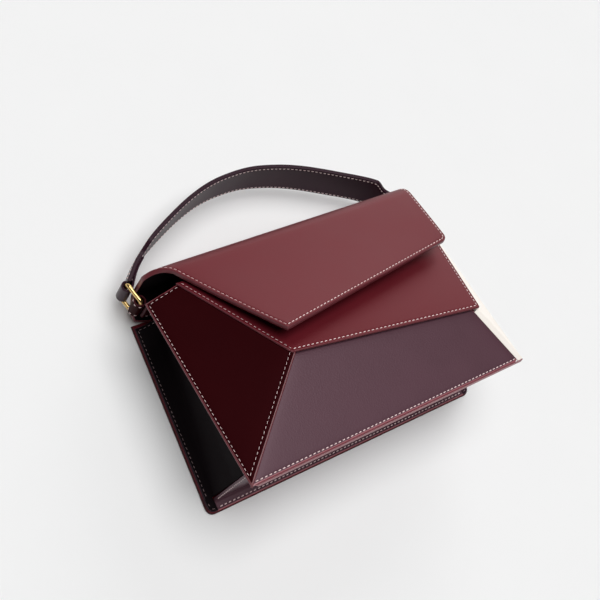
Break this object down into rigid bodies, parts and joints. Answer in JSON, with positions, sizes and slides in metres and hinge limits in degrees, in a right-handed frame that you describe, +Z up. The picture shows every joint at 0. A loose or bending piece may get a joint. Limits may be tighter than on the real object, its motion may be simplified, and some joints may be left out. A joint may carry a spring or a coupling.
{
  "type": "shoulder bag",
  "caption": "Structured leather shoulder bag lying on its back, with a folded colour-blocked front, slanted flap, short wide strap on metal rings and gussets folded in",
  "frame": {"origin": "middle of the bag's bounding box on the surface that its back panel lies on", "axes": "+X across the bag to the viewer's right of its front, +Y from the bag's bottom edge to its strap, +Z up, from the back panel to the front"},
  "size_m": [0.2616, 0.23, 0.1025],
  "materials": {
    "burgundy_leather": "smooth, semi-gloss",
    "plum_leather": "fine grain, semi-matte",
    "dark_plum_leather": "fine grain, semi-matte",
    "cream_leather": "smooth, semi-matte",
    "gold_brass": "polished"
  },
  "bodies": {
    "root": {"back_panel": "burgundy_leather", "left_gusset": "dark_plum_leather", "right_gusset": "dark_plum_leather", "base": "plum_leather", "left_panel": "burgundy_leather", "lower_panel": "plum_leather", "right_panel": "cream_leather", "upper_panel": "burgundy_leather", "flap": "burgundy_leather", "magnet_button": "gold_brass", "left_tab": "burgundy_leather", "right_tab": "burgundy_leather", "left_ring": "gold_brass", "right_ring": "gold_brass", "strap": "dark_plum_leather"}
  },
  "joints": []
}
